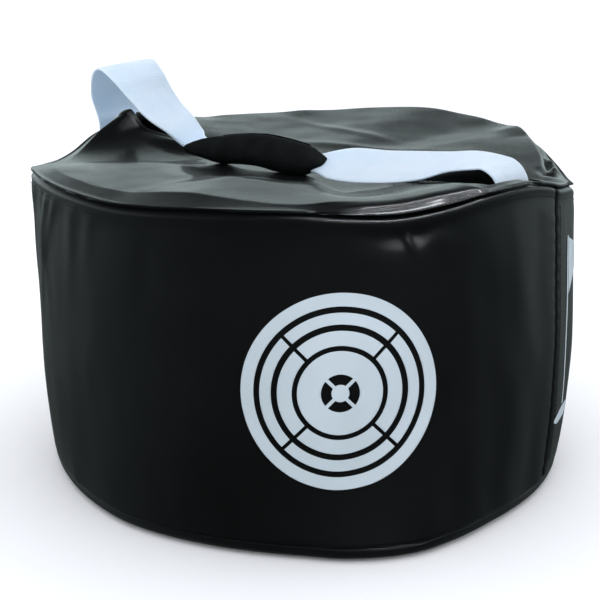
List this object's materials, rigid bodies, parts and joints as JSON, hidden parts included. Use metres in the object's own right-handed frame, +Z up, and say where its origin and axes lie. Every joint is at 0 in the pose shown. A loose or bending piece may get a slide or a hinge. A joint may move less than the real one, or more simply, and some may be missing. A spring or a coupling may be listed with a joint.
{
  "type": "golf impact bag",
  "caption": "Stuffed round drum of black coated fabric with a ring target on its side wall, a zip across the top and a webbing carry handle with a padded grip.",
  "frame": {"origin": "middle of the flat underside, on the floor", "axes": "+Z up along the drum's axis; -Y towards the target's side; the zip and handle run on the diagonal from -X+Y to +X-Y"},
  "size_m": [0.3998, 0.4004, 0.3015],
  "materials": {
    "coated_fabric": "black PVC-coated woven fabric, semi-gloss, fine weave showing through",
    "binding_tape": "black plain-woven binding tape",
    "rag_filling": "compressed cotton rags and towels",
    "zip_tape": "black woven polyester zip tape",
    "zip_coil": "black nylon coil",
    "zip_metal": "dark plated zinc, satin",
    "webbing": "white woven polypropylene webbing, cross ribs",
    "grip_foam": "black foam padding",
    "grip_cover": "black matt laminated neoprene fabric",
    "hook_and_loop": "black hook-and-loop tape",
    "print_film": "pale grey heat-transfer print, satin"
  },
  "bodies": {
    "bag": {"wall_panel_front": "coated_fabric", "wall_panel_back": "coated_fabric", "bottom_panel": "coated_fabric", "top_panel_front": "coated_fabric", "top_panel_back": "coated_fabric", "zip_end_tab_left": "coated_fabric", "zip_end_tab_right": "coated_fabric", "top_seam_tape": "binding_tape", "bottom_seam_tape": "binding_tape", "side_seam_tape_right": "binding_tape", "side_seam_tape_left": "binding_tape", "handle_anchor_right": "binding_tape", "handle_anchor_left": "binding_tape", "filling_lower": "rag_filling", "filling_middle": "rag_filling", "filling_upper": "rag_filling", "zip_tape_front": "zip_tape", "zip_tape_back": "zip_tape", "zip_coil_front": "zip_coil", "zip_coil_back": "zip_coil", "zip_stop_left": "zip_metal", "zip_stop_right": "zip_metal", "handle_end_left": "webbing", "handle_end_right": "webbing", "target_ring_outer": "print_film", "target_ring_middle": "print_film", "target_ring_inner": "print_film", "target_centre": "print_film"},
    "zip_slider": {"slider_body": "zip_metal", "slider_bridge": "zip_metal"},
    "zip_pull": {"pull_tab": "zip_metal"},
    "handle": {"handle_webbing": "webbing", "grip_core": "grip_foam", "grip_wrap": "grip_cover", "loop_strip": "hook_and_loop"},
    "flap": {"grip_flap": "grip_cover", "hook_strip": "hook_and_loop"}
  },
  "joints": [
    {"name": "zip_slide", "type": "slide", "parent": "bag", "child": "zip_slider", "axis": [0.7071, -0.7071, 0], "range_m": [0, 0.285]},
    {"name": "pull_tab_flip", "type": "hinge", "parent": "zip_slider", "child": "zip_pull", "pos_m": [-0.10571, 0.10571, 0.2325], "axis": [-0.7071, -0.7071, 0], "range_deg": [0, 170]},
    {"name": "handle_swing", "type": "hinge", "parent": "bag", "child": "handle", "pos_m": [0.01768, 0.01768, 0.243], "axis": [-0.7071, 0.7071, 0], "range_deg": [0, 120]},
    {"name": "grip_flap_open", "type": "hinge", "parent": "handle", "child": "flap", "pos_m": [-0.0289, -0.00916, 0.25532], "axis": [0.7427, -0.6696, -0.0044], "range_deg": [0, 100]}
  ]
}
